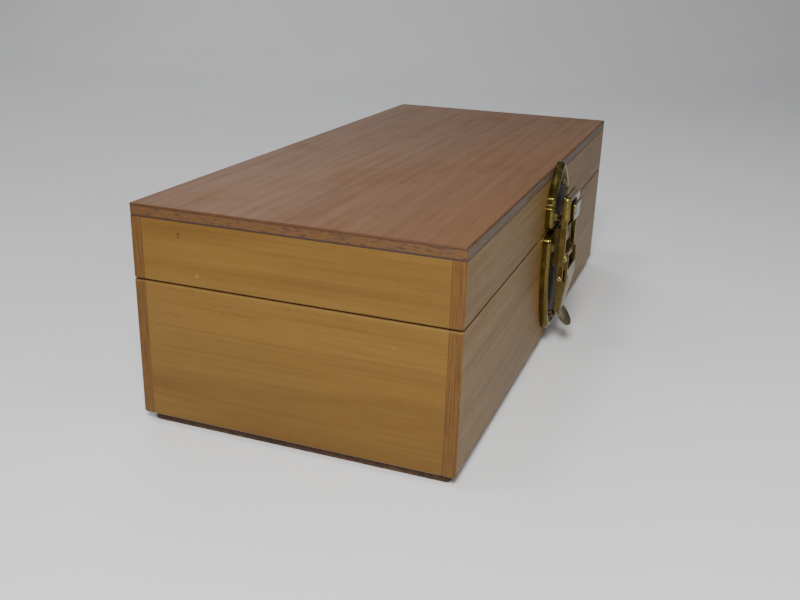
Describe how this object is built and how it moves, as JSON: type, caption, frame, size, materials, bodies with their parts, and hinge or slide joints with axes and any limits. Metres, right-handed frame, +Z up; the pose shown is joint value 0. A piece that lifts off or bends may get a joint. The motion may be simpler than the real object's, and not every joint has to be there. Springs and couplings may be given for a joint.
{
  "type": "hinged wooden box",
  "caption": "Long varnished wooden box with a hinged plywood-topped lid and a brass draw catch on the front.",
  "frame": {"origin": "middle of the underside of the bottom board, under the centre of the wooden carcass", "axes": "+X along the box's length, -Y out of the front that carries the catch, +Z up"},
  "size_m": [0.236, 0.1205, 0.0741],
  "materials": {
    "varnished_panel_wood": "satin golden varnish over pale hardwood",
    "top_veneer": "satin varnished reddish veneer",
    "ply_core": "flecked golden plywood core, varnished edge",
    "ply_back": "dark plywood back veneer",
    "bottom_board": "dark matt hardboard",
    "latch_brass": "tarnished polished brass",
    "hinge_brass": "satin brass",
    "fasteners": "dull brass"
  },
  "bodies": {
    "base": {"base_front_panel": "varnished_panel_wood", "base_back_panel": "varnished_panel_wood", "base_left_end": "varnished_panel_wood", "base_right_end": "varnished_panel_wood", "bottom_board": "bottom_board", "bottom_brads": "fasteners", "hinge_base_screws": "fasteners", "latch_base_screws": "fasteners", "left_hinge_base_leaf": "hinge_brass", "left_hinge_pin": "hinge_brass", "right_hinge_base_leaf": "hinge_brass", "right_hinge_pin": "hinge_brass", "latch_base_plate": "latch_brass", "pivot_bracket": "latch_brass", "lever_pivot_pin": "latch_brass"},
    "lid": {"lid_front_panel": "varnished_panel_wood", "lid_back_panel": "varnished_panel_wood", "lid_left_end": "varnished_panel_wood", "lid_right_end": "varnished_panel_wood", "lid_top_face_veneer": "top_veneer", "lid_top_core": "ply_core", "lid_top_back_veneer": "ply_back", "left_hinge_lid_leaf": "hinge_brass", "right_hinge_lid_leaf": "hinge_brass", "hinge_lid_screws": "fasteners", "strike_plate": "latch_brass", "strike_screws": "fasteners"},
    "lever": {"lever": "latch_brass", "lever_link_pin": "latch_brass"},
    "link": {"link": "latch_brass", "link_rivets": "latch_brass"}
  },
  "joints": [
    {"name": "lid_hinge", "type": "hinge", "parent": "base", "child": "lid", "pos_m": [0, 0.0552, 0.04925], "axis": [-1, 0, 0], "range_deg": [0, 188]},
    {"name": "lever_hinge", "type": "hinge", "parent": "base", "child": "lever", "pos_m": [0, -0.0602, 0.0392], "axis": [-1, 0, 0], "range_deg": [0, 165]},
    {"name": "link_slide", "type": "slide", "parent": "base", "child": "link", "axis": [0, -0.2462, 0.9692], "range_m": [0, 0.01519]}
  ],
  "couplings": [
    {"joint": "link_slide", "follows": "lever_hinge", "m_per_rad": 0.0052696}
  ]
}
